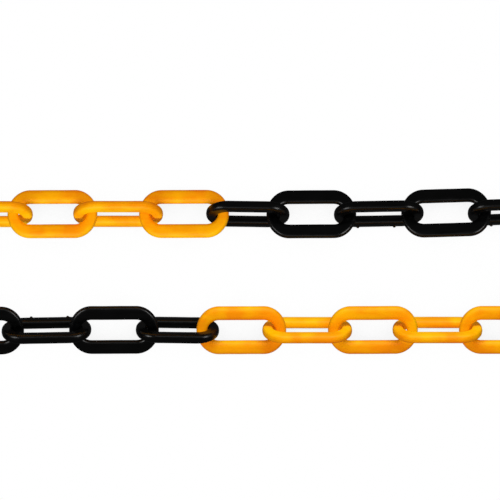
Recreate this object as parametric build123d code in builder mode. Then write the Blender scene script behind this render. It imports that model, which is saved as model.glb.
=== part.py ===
from build123d import *
import math
import os

# A plastic barrier chain of moulded oval links, laid on the ground as a hairpin: one straight
# row out, a bend, and one straight row back. +Z is up, X runs along the rows, and the origin
# is on the ground under the middle of the chain. Sizes are in millimetres.

# ---- One link: a flat oval ring -------------------------------------------------------------
LINK_WIDTH = 29.4  # over both bars
BAR_WIDTH = 8.0  # the chain's gauge, across a bar in the plane of its link
LINK_THICKNESS = 5.7  # across a bar, square to the plane of its link
STRAIGHT = 25.7  # length of the straight bars, between the two bows
JOINING_STRAIGHT = 22.0  # the same on the first link of a colour section, which is shorter
BOW_REACH = 13.0  # how far a bow stands out beyond the bars
EDGE_RADIUS = 2.4  # rounding of the bar's four edges

EYE_RADIUS = LINK_WIDTH / 2 - BAR_WIDTH  # inside of a bow, a half circle
BOW_WIDTH = BOW_REACH - EYE_RADIUS  # across the bow at the tip of the link

# ---- The colour sections, moulded one after another -----------------------------------------
SECTION_COLOURS = ("yellow", "black", "yellow", "black")
SECTION_LINKS = 6
LINK_COUNT = SECTION_LINKS * len(SECTION_COLOURS)

# ---- How the chain lies ---------------------------------------------------------------------
FIRST_OUT = 1  # first link of the row out, a flat one
FLAT_BEND_LINK = 11
STANDING_BEND_LINK = 12
LAST_OUT = FLAT_BEND_LINK - 1  # last link of the row out, a standing one
FIRST_BACK = STANDING_BEND_LINK + 1  # first link of the row back, a flat one

ROW_SPACING = 66.6  # between the centre lines of the two rows
ROW_START = 167.6  # from the middle of the hairpin to a row's first link, along the row
LEAN = 22.8  # degrees that the links of a row are rolled outwards about the row
FLAT_BEND_LEAN = 10.0  # the flat link in the bend lies flatter
SAG = 0.8  # the flat links hang this far below the standing ones
BEND_SLACK = 1.6  # at the three connections of the bend
END_SLACK = 0.8  # at the two connections outside the rows, next to the chain's ends

# A row is ten links long. Slack after each of its links, short of pulled tight, and the degrees
# by which each link is turned from the row's line.
ROW_SLACK = (0.8, 2.0, 1.3, 1.2, 0.5, 0.7, 0.3, 0.3, 0.9)
ROW_TURN = (0.0, 0.0, 0.3, 0.0, 0.3, -0.8, 0.3, 1.0, 1.7, 2.1)
ROW_LINKS = len(ROW_TURN)
DRIFT = 0.55  # the share of the turned links' drift off the line that their side play leaves


def stands(number):
    """Every second link stands on one of its bars, and the others lie nearly flat."""
    return number % 2 == 0


def straight_length(number):
    return JOINING_STRAIGHT if number % SECTION_LINKS == 0 else STRAIGHT


def bow_spacing(number):
    """Distance between the centre lines of a link's two bows."""
    return straight_length(number) + 2 * BOW_REACH - BOW_WIDTH


def lean(number):
    return {FLAT_BEND_LINK: FLAT_BEND_LEAN, STANDING_BEND_LINK: 0.0}.get(number, LEAN)


def link_height(number):
    """Height of a link's middle: a standing link's lower bar touches the ground."""
    side = LINK_WIDTH / 2 - EDGE_RADIUS
    face = LINK_THICKNESS / 2 - EDGE_RADIUS
    tilt = math.radians(lean(number) if stands(number) else LEAN)
    height = side * math.cos(tilt) + face * math.sin(tilt) + EDGE_RADIUS
    return height if stands(number) else height - SAG


def direction(degrees):
    """The level direction at an angle from +X, turned towards +Y."""
    angle = math.radians(degrees)
    return Vector(math.cos(angle), math.sin(angle), 0)


def bend_headings(near, far, shift, drop):
    """Headings of the two bend links, which cross from the row out to the row back.

    They reach near and far, and end up shift further along X and drop further down Y.
    """
    reach = math.hypot(shift, drop)
    straight_down = math.degrees(math.atan2(drop, shift))
    near_angle = math.degrees(math.acos((reach**2 + near**2 - far**2) / (2 * reach * near)))
    far_angle = math.degrees(math.asin(near * math.sin(math.radians(near_angle)) / far))
    return near_angle - straight_down, -far_angle - straight_down


def step(one, other, headings, slack):
    """From the middle of one link to the middle of the next."""
    ahead, beyond = direction(headings[one]), direction(headings[other])
    overlap = (ahead + beyond) * (BOW_WIDTH + slack) / 2
    return ahead * bow_spacing(one) / 2 + beyond * bow_spacing(other) / 2 - overlap


def row_places():
    """Middles and headings of both rows; the row back is the row out after half a turn."""
    headings = {FIRST_OUT + place: turn for place, turn in enumerate(ROW_TURN)}
    middles = {FIRST_OUT: Vector(-ROW_START, ROW_SPACING / 2, 0)}
    for number, slack in enumerate(ROW_SLACK, start=FIRST_OUT):
        middles[number + 1] = middles[number] + step(number, number + 1, headings, slack)
    for number in range(FIRST_OUT, FIRST_OUT + ROW_LINKS):
        middle = middles[number]
        middles[number] = Vector(middle.X, DRIFT * middle.Y + (1 - DRIFT) * ROW_SPACING / 2, 0)
        back = FIRST_BACK + number - FIRST_OUT
        middles[back] = middles[number] * -1
        headings[back] = headings[number] + 180.0
    return middles, headings


def chain_places():
    """Middle and heading of every link, in order along the chain, seen from above."""
    middles, headings = row_places()

    last_bow = middles[LAST_OUT] + direction(headings[LAST_OUT]) * bow_spacing(LAST_OUT) / 2
    into_row = bow_spacing(FIRST_BACK) / 2 - BOW_WIDTH - BEND_SLACK
    first_bow = middles[FIRST_BACK] - direction(headings[FIRST_BACK]) * into_row
    across = first_bow - last_bow
    near = bow_spacing(FLAT_BEND_LINK) - 2 * (BOW_WIDTH + BEND_SLACK)
    far = bow_spacing(STANDING_BEND_LINK)
    flat_heading, standing_heading = bend_headings(near, far, across.X, -across.Y)
    headings[FLAT_BEND_LINK] = flat_heading
    headings[STANDING_BEND_LINK] = standing_heading
    elbow = last_bow + direction(flat_heading) * near
    middles[FLAT_BEND_LINK] = (last_bow + elbow) / 2
    middles[STANDING_BEND_LINK] = (elbow + first_bow) / 2

    first, last = 0, LINK_COUNT - 1
    headings[first] = headings[first + 1]
    headings[last] = headings[last - 1]
    middles[first] = middles[first + 1] - step(first, first + 1, headings, END_SLACK)
    middles[last] = middles[last - 1] + step(last - 1, last, headings, END_SLACK)
    return [(middles[number], headings[number]) for number in range(LINK_COUNT)]


def link_plane(number, middle, heading):
    """The plane of a link: X along the link, Y from bar to bar, Z through its eye."""
    up = Vector(0, 0, 1)
    ahead = direction(heading)
    left = up.cross(ahead)
    tilt = math.radians(lean(number))
    rolled_up = left * math.sin(tilt) + up * math.cos(tilt)
    rolled_right = up * math.sin(tilt) - left * math.cos(tilt)
    return Plane(
        origin=Vector(middle.X, middle.Y, link_height(number)),
        x_dir=ahead,
        z_dir=rolled_right if stands(number) else rolled_up,
    )


def link_name(number):
    return f"link_{number + 1:02d}_{SECTION_COLOURS[number // SECTION_LINKS]}"


def build_link(plane, straight):
    """One link: the oval outline less its eye, thickened both ways, with rounded edges."""
    side = LINK_WIDTH / 2
    end = straight / 2
    with BuildPart() as link:
        with BuildSketch(plane):
            with BuildLine():
                Line((-end, side), (end, side))
                EllipticalCenterArc((end, 0), BOW_REACH, side, start_angle=-90, arc_size=180)
                Line((end, -side), (-end, -side))
                EllipticalCenterArc((-end, 0), BOW_REACH, side, start_angle=90, arc_size=180)
            make_face()
            SlotCenterToCenter(straight, 2 * EYE_RADIUS, mode=Mode.SUBTRACT)
        extrude(amount=LINK_THICKNESS / 2, both=True)
        broad_faces = link.faces().filter_by(Axis(plane.origin, plane.z_dir))
        fillet(broad_faces.edges(), EDGE_RADIUS)
    return link.part


def middle_on_ground(parts):
    """The point on the ground under the middle of the whole chain."""
    boxes = [part.bounding_box() for part in parts]
    low_x = min(box.min.X for box in boxes)
    high_x = max(box.max.X for box in boxes)
    low_y = min(box.min.Y for box in boxes)
    high_y = max(box.max.Y for box in boxes)
    return Vector((low_x + high_x) / 2, (low_y + high_y) / 2, 0)


os.makedirs("parts", exist_ok=True)

laid_out = [link_plane(number, *place) for number, place in enumerate(chain_places())]
origin = middle_on_ground(
    [build_link(plane, straight_length(number)) for number, plane in enumerate(laid_out)]
)
planes = [
    Plane(origin=plane.origin - origin, x_dir=plane.x_dir, z_dir=plane.z_dir)
    for plane in laid_out
]

for number, plane in enumerate(planes):
    chain_link = build_link(plane, straight_length(number))
    chain_link.label = link_name(number)
    export_step(chain_link, f"parts/{link_name(number)}.step")
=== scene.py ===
"""A plastic barrier chain, seen from straight above on a white table.

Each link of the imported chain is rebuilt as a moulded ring: a rounded bar swept round an oval,
with its parting line, gate marks and slight unevenness. Lengths in the link shape are in
millimetres, in the link's own frame: X along the link, Y from bar to bar, Z through the eye.
"""

import math

import bmesh
import bpy
import numpy as np
from mathutils import Matrix, Vector, noise


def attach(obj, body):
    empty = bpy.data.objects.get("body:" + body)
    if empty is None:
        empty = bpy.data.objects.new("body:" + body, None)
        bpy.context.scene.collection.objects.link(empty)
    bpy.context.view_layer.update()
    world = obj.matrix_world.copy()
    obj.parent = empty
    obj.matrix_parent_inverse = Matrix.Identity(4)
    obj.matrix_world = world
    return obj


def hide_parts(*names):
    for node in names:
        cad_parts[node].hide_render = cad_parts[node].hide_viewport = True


MM = 0.001

# ---- The link's shape -----------------------------------------------------------------------
LINK_WIDTH = 29.4
BAR_WIDTH = 8.0
LINK_THICKNESS = 5.7
EYE_RADIUS = LINK_WIDTH / 2 - BAR_WIDTH
BOW_REACH = 13.0  # the bows' length beyond the straight bars
SQUARENESS = 2.8  # power of the bar's section: 2 is an ellipse, and higher is squarer

# ---- Moulding detail ------------------------------------------------------------------------
RIDGE_HEIGHT = 0.06  # the parting line, all round the link at half its thickness
RIDGE_HALF_WIDTH = 0.20
NUB_SHARES = (-0.93, 0.71)  # the two gate marks' places, as shares of half the straight bar
NUB_OFFSET = 1.5  # from the bar's middle towards its outer edge
NUB_HEIGHT = 0.9
NUB_RADIUS = 1.1
NUB_STEEPNESS = 1.6  # above 1, the mark has a flat top
SINK_DEPTH = 0.07  # the thick middles of the bars' faces shrink in a little
SINK_FOCUS = 4  # the higher, the closer the sink keeps to the middle of a face
WAVE_DEPTH = 0.10  # the surface wanders inward by up to this much
WAVE_LENGTH = 9.0
WAVE_DRIFT = (37.1, 11.7, 5.3)  # between the waves of one link and the next

# ---- How fine the mesh is -------------------------------------------------------------------
BOW_STEPS = 44
BAR_STEP = 1.0
NUB_STEP = 0.16
PARTING_HEIGHTS = (0.0, 0.09, 0.18, 0.28, 0.45, 0.75)  # of the points near the parting line
FACE_STEPS = 10  # from the last of those points to the middle of a face
ANGLE_DIGITS = 6  # two angles that agree to this many digits are one point
PLACE_DIGITS = 4

PATTERN_PLACE = "place_in_link"  # where the patterns of a material are looked up, in mm
PATTERN_SHIFT = 37.0  # between the patterns of one link and the next


def nub_stations(half):
    """Places along the bar with gate marks, close together at each mark."""
    places = set(np.round(np.arange(-half, half, BAR_STEP), PLACE_DIGITS))
    reach = NUB_RADIUS + NUB_STEP
    for share in NUB_SHARES:
        nub = share * half
        places = {p for p in places if abs(p - nub) > reach}
        places |= set(np.round(np.arange(nub - reach, nub + reach, NUB_STEP), PLACE_DIGITS))
    return sorted(p for p in places if -half <= p < half)


def ring_stations(length):
    """(inner point, outer point) pairs round the link, starting at its lower bar."""
    half = length / 2 - BOW_REACH
    outer = LINK_WIDTH / 2
    stations = [((x, -EYE_RADIUS), (x, -outer)) for x in nub_stations(half)]
    for side in (1, -1):
        for step in range(BOW_STEPS):
            angle = math.pi * step / BOW_STEPS - math.pi / 2
            cos, sin = side * math.cos(angle), side * math.sin(angle)
            inner_point = (side * half + EYE_RADIUS * cos, EYE_RADIUS * sin)
            outer_point = (side * half + BOW_REACH * cos, outer * sin)
            stations.append((inner_point, outer_point))
        if side == 1:
            for x in np.arange(half, -half, -BAR_STEP):
                stations.append(((x, EYE_RADIUS), (x, outer)))
    return stations


def section_angles():
    """Angles round the bar's section, close together at the parting line."""
    thickness = LINK_THICKNESS / 2
    quadrant = [math.asin((y / thickness) ** (SQUARENESS / 2)) for y in PARTING_HEIGHTS]
    quadrant += list(np.linspace(quadrant[-1], math.pi / 2, FACE_STEPS + 1)[1:-1])
    angles = quadrant + [math.pi / 2]
    angles += [math.pi - a for a in quadrant]
    angles += [math.pi + a for a in quadrant[1:]] + [1.5 * math.pi]
    angles += [2 * math.pi - a for a in quadrant[1:]]
    return sorted(set(round(a, ANGLE_DIGITS) for a in angles))


def section_offset(angle, half_width, half_thickness):
    """A point of the bar's section: how far across the bar, and how far up."""
    power = 2 / SQUARENESS
    cos, sin = math.cos(angle), math.sin(angle)
    across = math.copysign(abs(cos) ** power, cos) * half_width
    up = math.copysign(abs(sin) ** power, sin) * half_thickness
    return across, up


def smooth_step(t):
    """From 0 to 1 as t goes from 0 to 1, level at both ends."""
    t = min(1.0, max(0.0, t))
    return t * t * (3 - 2 * t)


def nub_rise(x, y, half):
    """Height of the gate marks over the face of the lower bar."""
    bar_middle = -(EYE_RADIUS + LINK_WIDTH / 2) / 2
    rise = 0.0
    for share in NUB_SHARES:
        distance = math.hypot(x - share * half, y - (bar_middle - NUB_OFFSET))
        rise += NUB_HEIGHT * smooth_step(NUB_STEEPNESS * (1 - distance / NUB_RADIUS))
    return rise


def link_points(length, seed):
    """The points of one link, one ring of them for each station."""
    angles = section_angles()
    half = length / 2 - BOW_REACH
    rows = []
    drift = Vector([seed * shift for shift in WAVE_DRIFT])
    for inner, outer in ring_stations(length):
        inner_point = Vector((inner[0], inner[1], 0))
        outer_point = Vector((outer[0], outer[1], 0))
        middle = (inner_point + outer_point) / 2
        across = (outer_point - inner_point).normalized()
        half_width = (outer_point - inner_point).length / 2
        row = []
        for angle in angles:
            side, up = section_offset(angle, half_width, LINK_THICKNESS / 2)
            ridge = RIDGE_HEIGHT * math.exp(-((up / RIDGE_HALF_WIDTH) ** 2))
            flat = abs(math.sin(angle)) ** SINK_FOCUS
            sink = SINK_DEPTH * flat * smooth_step(1 - abs(side) / half_width)
            point = middle + across * (side + math.copysign(ridge, math.cos(angle)))
            point.z = up - math.copysign(sink, up)
            if up > 0:
                point.z += nub_rise(point.x, point.y, half)
            wave = (noise.noise(point / WAVE_LENGTH + drift) - 1) / 2
            outward = (across * side + Vector((0, 0, up))).normalized()
            row.append(point + outward * (wave * WAVE_DEPTH))
        rows.append(row)
    return rows


def link_mesh(name, length, seed):
    """The link's mesh, with each point's place in the link kept for the material's patterns."""
    rows = link_points(length, seed)
    mesh = bpy.data.meshes.new(name)
    shape = bmesh.new()
    rings = [[shape.verts.new(point * MM) for point in row] for row in rows]
    for index, ring in enumerate(rings):
        following = rings[(index + 1) % len(rings)]
        for k in range(len(ring)):
            after = (k + 1) % len(ring)
            shape.faces.new((ring[k], following[k], following[after], ring[after]))
    bmesh.ops.recalc_face_normals(shape, faces=shape.faces)
    for face in shape.faces:
        face.smooth = True
    shape.to_mesh(mesh)
    shape.free()
    places = mesh.attributes.new(PATTERN_PLACE, "FLOAT_VECTOR", "POINT")
    apart = Vector((0, 0, PATTERN_SHIFT * seed))
    for vertex, place in zip(mesh.vertices, places.data):
        place.vector = vertex.co / MM + apart
    return mesh


# ---- Where each link lies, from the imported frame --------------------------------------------


def principal_axes(node):
    """Middle, three axes, longest first, and length of a CAD link, from its mesh's surface."""
    mesh = node.data
    mesh.calc_loop_triangles()
    count = len(mesh.vertices)
    points = np.zeros(count * 3)
    mesh.vertices.foreach_get("co", points)
    points = points.reshape(-1, 3)
    corners = np.zeros(len(mesh.loop_triangles) * 3, dtype=np.int64)
    mesh.loop_triangles.foreach_get("vertices", corners)
    a, b, c = (points[corners.reshape(-1, 3)[:, k]] for k in range(3))
    area = np.linalg.norm(np.cross(b - a, c - a), axis=1)
    middle = (((a + b + c) / 3) * area[:, None]).sum(0) / area.sum()
    spread = np.zeros((3, 3))
    for one, two in ((a, b), (b, c), (c, a)):
        half = (one + two) / 2 - middle
        spread += (half * area[:, None]).T @ half
    _, vectors = np.linalg.eigh(spread)
    length = np.ptp((points - middle) @ vectors[:, 2])
    return Vector(middle), [Vector(vectors[:, k]) for k in (2, 1, 0)], length / MM


INWARD_GATES = (8, 10, 20, 22)  # standing links whose gate marks face the other row


def link_places(nodes):
    """Each link's place, with its gate marks on the lower bar's +Z face, and its length."""
    frames = [principal_axes(node) for node in nodes]
    places = []
    for number, (middle, (along, across, through), length) in enumerate(frames):
        if abs(through.z) > abs(across.z):  # a flat link: the marks are underneath
            before = frames[max(number - 1, 0)][0]
            after = frames[min(number + 1, len(frames) - 1)][0]
            along = along if along.dot(after - before) > 0 else -along
            through = through if through.z < 0 else -through
            across = through.cross(along)
        else:  # a standing link: the marks are on the bar that stands on the table
            inward = Vector((0, -middle.y if number in INWARD_GATES else middle.y, 0))
            across = across if across.z > 0 else -across
            through = through if through.dot(inward) > 0 else -through
            along = across.cross(through)
        rotation = Matrix((along, across, through)).transposed().to_4x4()
        places.append((Matrix.Translation(middle) @ rotation, length))
    return places


# ---- Materials ------------------------------------------------------------------------------

NOISE_LOW, NOISE_HIGH = 0.3, 0.7  # between these lies nearly all of a noise
POLYETHYLENE_IOR = 1.5
FLOW_DEPTH = 0.3  # of the flow streaks' bumps at full strength
GRAIN_DEPTH = 0.1
STREAK_SHARE = 0.22  # of the yellow's colour variation; the rest is cloud


class Nodes:
    """A material's node tree, with short calls to add nodes and join them."""

    def __init__(self, name):
        self.material = bpy.data.materials.new(name)
        self.material.use_nodes = True
        self.tree = self.material.node_tree
        self.tree.nodes.clear()

    def add(self, kind, inputs=None, **settings):
        node = self.tree.nodes.new(kind)
        for key, value in settings.items():
            setattr(node, key, value)
        for key, value in (inputs or {}).items():
            socket = node.inputs[key]
            if isinstance(value, bpy.types.NodeSocket):
                self.tree.links.new(value, socket)
            else:
                socket.default_value = value
        return node

    def ramp(self, factor, stops):
        node = self.add("ShaderNodeValToRGB", {"Fac": factor})
        elements = node.color_ramp.elements
        while len(elements) < len(stops):
            elements.new(0.5)
        for element, (position, colour) in zip(elements, stops):
            element.position = position
            element.color = (*colour, 1)
        return node.outputs["Color"]


def pattern(nodes, scale, stretch=1.0, detail=2.0):
    """Noise in the link's own frame, drawn out along the link; scale is per millimetre."""
    place = nodes.add("ShaderNodeAttribute", attribute_name=PATTERN_PLACE).outputs["Vector"]
    sized = nodes.add("ShaderNodeMapping", {"Vector": place, "Scale": (1 / stretch, 1, 1)})
    inputs = {"Vector": sized.outputs["Vector"], "Scale": scale, "Detail": detail}
    return nodes.add("ShaderNodeTexNoise", inputs).outputs["Fac"]


def spread(nodes, factor, low, high):
    """A noise laid over low to high."""
    inputs = {
        "Value": factor,
        "From Min": NOISE_LOW,
        "From Max": NOISE_HIGH,
        "To Min": low,
        "To Max": high,
    }
    return nodes.add("ShaderNodeMapRange", inputs).outputs["Result"]


def moulded_skin(nodes, streaks, grain):
    """Bumps of a moulded surface: flow streaks along the link, and a fine grain."""
    flow = nodes.add(
        "ShaderNodeBump",
        {
            "Height": pattern(nodes, 0.9, stretch=5.0),
            "Strength": streaks,
            "Distance": FLOW_DEPTH * MM,
        },
    )
    fine = nodes.add(
        "ShaderNodeBump",
        {
            "Height": pattern(nodes, 3.0, detail=4.0),
            "Strength": grain,
            "Distance": GRAIN_DEPTH * MM,
            "Normal": flow.outputs["Normal"],
        },
    )
    return fine.outputs["Normal"]


def yellow_plastic():
    """Orange-yellow polyethylene: cloudy pigment, faint flow streaks and hardly any gloss."""
    nodes = Nodes("yellow_polyethylene")
    cloud = pattern(nodes, 0.06, detail=2.0)
    streak = pattern(nodes, 0.5, stretch=6.0, detail=3.0)
    mixed = nodes.add(
        "ShaderNodeMix", {"Factor": STREAK_SHARE, "A": cloud, "B": streak}, data_type="FLOAT"
    ).outputs["Result"]
    colour = nodes.ramp(
        mixed,
        [(0.40, (0.84, 0.32, 0.0)), (0.50, (0.86, 0.41, 0.0)), (0.60, (0.88, 0.48, 0.0))],
    )
    shader = nodes.add(
        "ShaderNodeBsdfPrincipled",
        {
            "Base Color": colour,
            "Roughness": spread(nodes, streak, 0.40, 0.55),
            "Specular IOR Level": 0.12,
            "IOR": POLYETHYLENE_IOR,
            "Normal": moulded_skin(nodes, 0.06, 0.08),
        },
    )
    nodes.add("ShaderNodeOutputMaterial", {"Surface": shader.outputs["BSDF"]})
    return nodes.material


def black_plastic():
    """Black polyethylene with a soft, streaky gloss."""
    nodes = Nodes("black_polyethylene")
    streak = pattern(nodes, 0.35, stretch=5.0, detail=3.0)
    colour = nodes.ramp(streak, [(0.40, (0.0009,) * 3), (0.65, (0.0022, 0.0022, 0.0024))])
    shader = nodes.add(
        "ShaderNodeBsdfPrincipled",
        {
            "Base Color": colour,
            "Roughness": spread(nodes, streak, 0.20, 0.32),
            "Specular IOR Level": 0.4,
            "IOR": POLYETHYLENE_IOR,
            "Normal": moulded_skin(nodes, 0.25, 0.12),
        },
    )
    nodes.add("ShaderNodeOutputMaterial", {"Surface": shader.outputs["BSDF"]})
    return nodes.material


# ---- Floor, light and camera ----------------------------------------------------------------

VIEW_WIDTH = 287.75  # of the chain, across the picture
VIEW_OFFSET = (21.5, 12.7)  # from the middle between the rows to the picture's middle
CAMERA_HEIGHT = 2.6
SENSOR_WIDTH = 36.0

WHITE = (1.0, 1.0, 1.0)
PALE = (1.0, 0.82, 0.68)
WARM = (1.0, 0.48, 0.10)

# Name, place for the row out, size, power and tint of each box, and the colour of links it lights.
# The tinted boxes cast no shadows: they stand for light that comes through the yellow links.
BOXES = (
    ("right", (1.1, -0.5, 0.9), (1.0, 0.45), 8, WHITE, "black"),
    ("left", (-1.1, -0.5, 0.9), (1.0, 0.45), 7, WHITE, "black"),
    ("inner", (-0.3, -1.0, 0.9), (1.2, 0.8), 1.5, WHITE, "black"),
    ("key", (-0.2, -1.0, 0.9), (1.6, 0.5), 18, WHITE, "yellow"),
    ("top", (0.0, -0.3, 1.6), (1.0, 1.0), 13, PALE, "yellow"),
    ("outer", (0.2, 1.0, 0.7), (1.2, 0.8), 8, WARM, "yellow"),
)
WORLD_GLOW = 1.0  # the pale backdrop as it is seen, and as it lights the chain
WORLD_BOUNCE = 0.07
TABLE_HALF = 3.0
TABLE_BOUNCE = 0.26  # how the table lights the chain from below
TABLE_MIRRORED = 0.04  # its brightness as the glossy black links mirror it
SHADOW_REACH = 0.06  # of the soft shadow under the chain
SHADOW_START = 0.55  # openness of the table below which it darkens
SHADOW_DEPTH = 0.70  # what is left of the light right under a link
SHADOW_SAMPLES = 6


def table_top():
    """A pale table that the camera sees through, apart from the soft shadow on it.

    The chain reaches below the table where it is turned about a link, and has to stay in view.
    The shadow is worked out from how closed in the table is there, and no lamp casts it.
    """
    mesh = bpy.data.meshes.new("table")
    half = TABLE_HALF
    corners = [(-half, -half, 0), (half, -half, 0), (half, half, 0), (-half, half, 0)]
    mesh.from_pydata(corners, [], [(0, 1, 2, 3)])
    table = bpy.data.objects.new("table", mesh)
    bpy.context.collection.objects.link(table)
    table.visible_shadow = False

    nodes = Nodes("pale_table")
    ray = nodes.add("ShaderNodeLightPath").outputs
    openness = nodes.add(
        "ShaderNodeAmbientOcclusion", {"Distance": SHADOW_REACH}, samples=SHADOW_SAMPLES
    )
    shadow = nodes.add(
        "ShaderNodeMapRange",
        {"Value": openness.outputs["AO"], "From Max": SHADOW_START, "To Min": SHADOW_DEPTH},
        interpolation_type="SMOOTHSTEP",
    )
    clear = nodes.add("ShaderNodeBsdfTransparent", {"Color": shadow.outputs["Result"]})
    strength = nodes.add(
        "ShaderNodeMapRange",
        {"Value": ray["Is Glossy Ray"], "To Min": TABLE_BOUNCE, "To Max": TABLE_MIRRORED},
    )
    glow = nodes.add("ShaderNodeEmission", {"Strength": strength.outputs["Result"]})
    mixed = nodes.add("ShaderNodeMixShader", {"Fac": ray["Is Camera Ray"]})
    nodes.tree.links.new(glow.outputs["Emission"], mixed.inputs[1])
    nodes.tree.links.new(clear.outputs["BSDF"], mixed.inputs[2])
    nodes.add("ShaderNodeOutputMaterial", {"Surface": mixed.outputs["Shader"]})
    nodes.material.cycles.emission_sampling = "NONE"
    mesh.materials.append(nodes.material)


def soft_box(name, place, size, power, tint, lit):
    """An area light aimed at the chain, which lights only what is in the collection."""
    light = bpy.data.lights.new(name, "AREA")
    light.shape = "RECTANGLE"
    light.size, light.size_y = size
    light.energy = power
    light.color = tint
    light.use_shadow = tint == WHITE
    lamp = bpy.data.objects.new(name, light)
    lamp.location = place
    lamp.rotation_euler = (-Vector(place)).to_track_quat("-Z", "Y").to_euler()
    lamp.light_linking.receiver_collection = lit
    bpy.context.collection.objects.link(lamp)


def lights(rings):
    """Each row is lit from its inner side, the row back by the same boxes turned half round.

    The black links get no hard key and no light from overhead, which their gloss would mirror.
    """
    world = bpy.data.worlds.new("studio")
    world.use_nodes = True
    tree = world.node_tree
    background = tree.nodes["Background"]
    background.inputs["Color"].default_value = (1, 1, 1, 1)
    seen = tree.nodes.new("ShaderNodeLightPath").outputs["Is Camera Ray"]
    strength = tree.nodes.new("ShaderNodeMapRange")
    tree.links.new(seen, strength.inputs["Value"])
    strength.inputs["To Min"].default_value = WORLD_BOUNCE
    strength.inputs["To Max"].default_value = WORLD_GLOW
    tree.links.new(strength.outputs["Result"], background.inputs["Strength"])
    bpy.context.scene.world = world
    for row, turned in (("out", 1), ("back", -1)):
        for name, (x, y, z), size, power, tint, colour in BOXES:
            lit = bpy.data.collections.new(f"lit_by_{name}_{row}")
            for ring in rings:
                if ring["row"] == row and ring["colour"] == colour:
                    lit.objects.link(ring)
            soft_box(f"{name}_{row}", (turned * x, turned * y, z), size, power, tint, lit)


def camera(centre):
    """A camera straight above; centre is the middle between the two rows."""
    lens = bpy.data.cameras.new("camera")
    lens.sensor_width = SENSOR_WIDTH
    lens.lens = SENSOR_WIDTH * (CAMERA_HEIGHT - centre.z) / (VIEW_WIDTH * MM)
    view = bpy.data.objects.new("camera", lens)
    across, up = VIEW_OFFSET
    view.location = (centre.x + across * MM, centre.y + up * MM, CAMERA_HEIGHT)
    bpy.context.collection.objects.link(view)
    bpy.context.scene.camera = view


# ---- Build ----------------------------------------------------------------------------------

FIRST_OUT = 1  # first link of the row out, and FIRST_BACK the first of the row back
FIRST_BACK = 13
LINKS_OUT = 12  # with the first link of the bend

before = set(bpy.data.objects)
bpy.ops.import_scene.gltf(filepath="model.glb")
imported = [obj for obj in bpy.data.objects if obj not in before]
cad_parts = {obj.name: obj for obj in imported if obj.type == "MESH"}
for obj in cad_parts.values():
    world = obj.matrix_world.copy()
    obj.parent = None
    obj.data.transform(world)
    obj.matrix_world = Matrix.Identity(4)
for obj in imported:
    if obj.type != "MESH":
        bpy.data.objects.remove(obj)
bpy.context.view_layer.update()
names = sorted(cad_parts)
places = link_places([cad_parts[name] for name in names])
finishes = {"yellow": yellow_plastic(), "black": black_plastic()}
rings = []

for number, (name, (matrix, length)) in enumerate(zip(names, places)):
    colour = name.split("_")[-1]
    mesh = link_mesh(f"{colour}_ring_{number + 1:02d}", length, number)
    mesh.materials.append(finishes[colour])
    ring = bpy.data.objects.new(mesh.name, mesh)
    bpy.context.collection.objects.link(ring)
    mesh.transform(matrix)
    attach(ring, name)
    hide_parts(name)
    ring["row"] = "out" if number < LINKS_OUT else "back"
    ring["colour"] = colour
    rings.append(ring)

table_top()
lights(rings)
camera((places[FIRST_OUT][0].translation + places[FIRST_BACK][0].translation) / 2)
bpy.context.scene.view_settings.view_transform = "Standard"
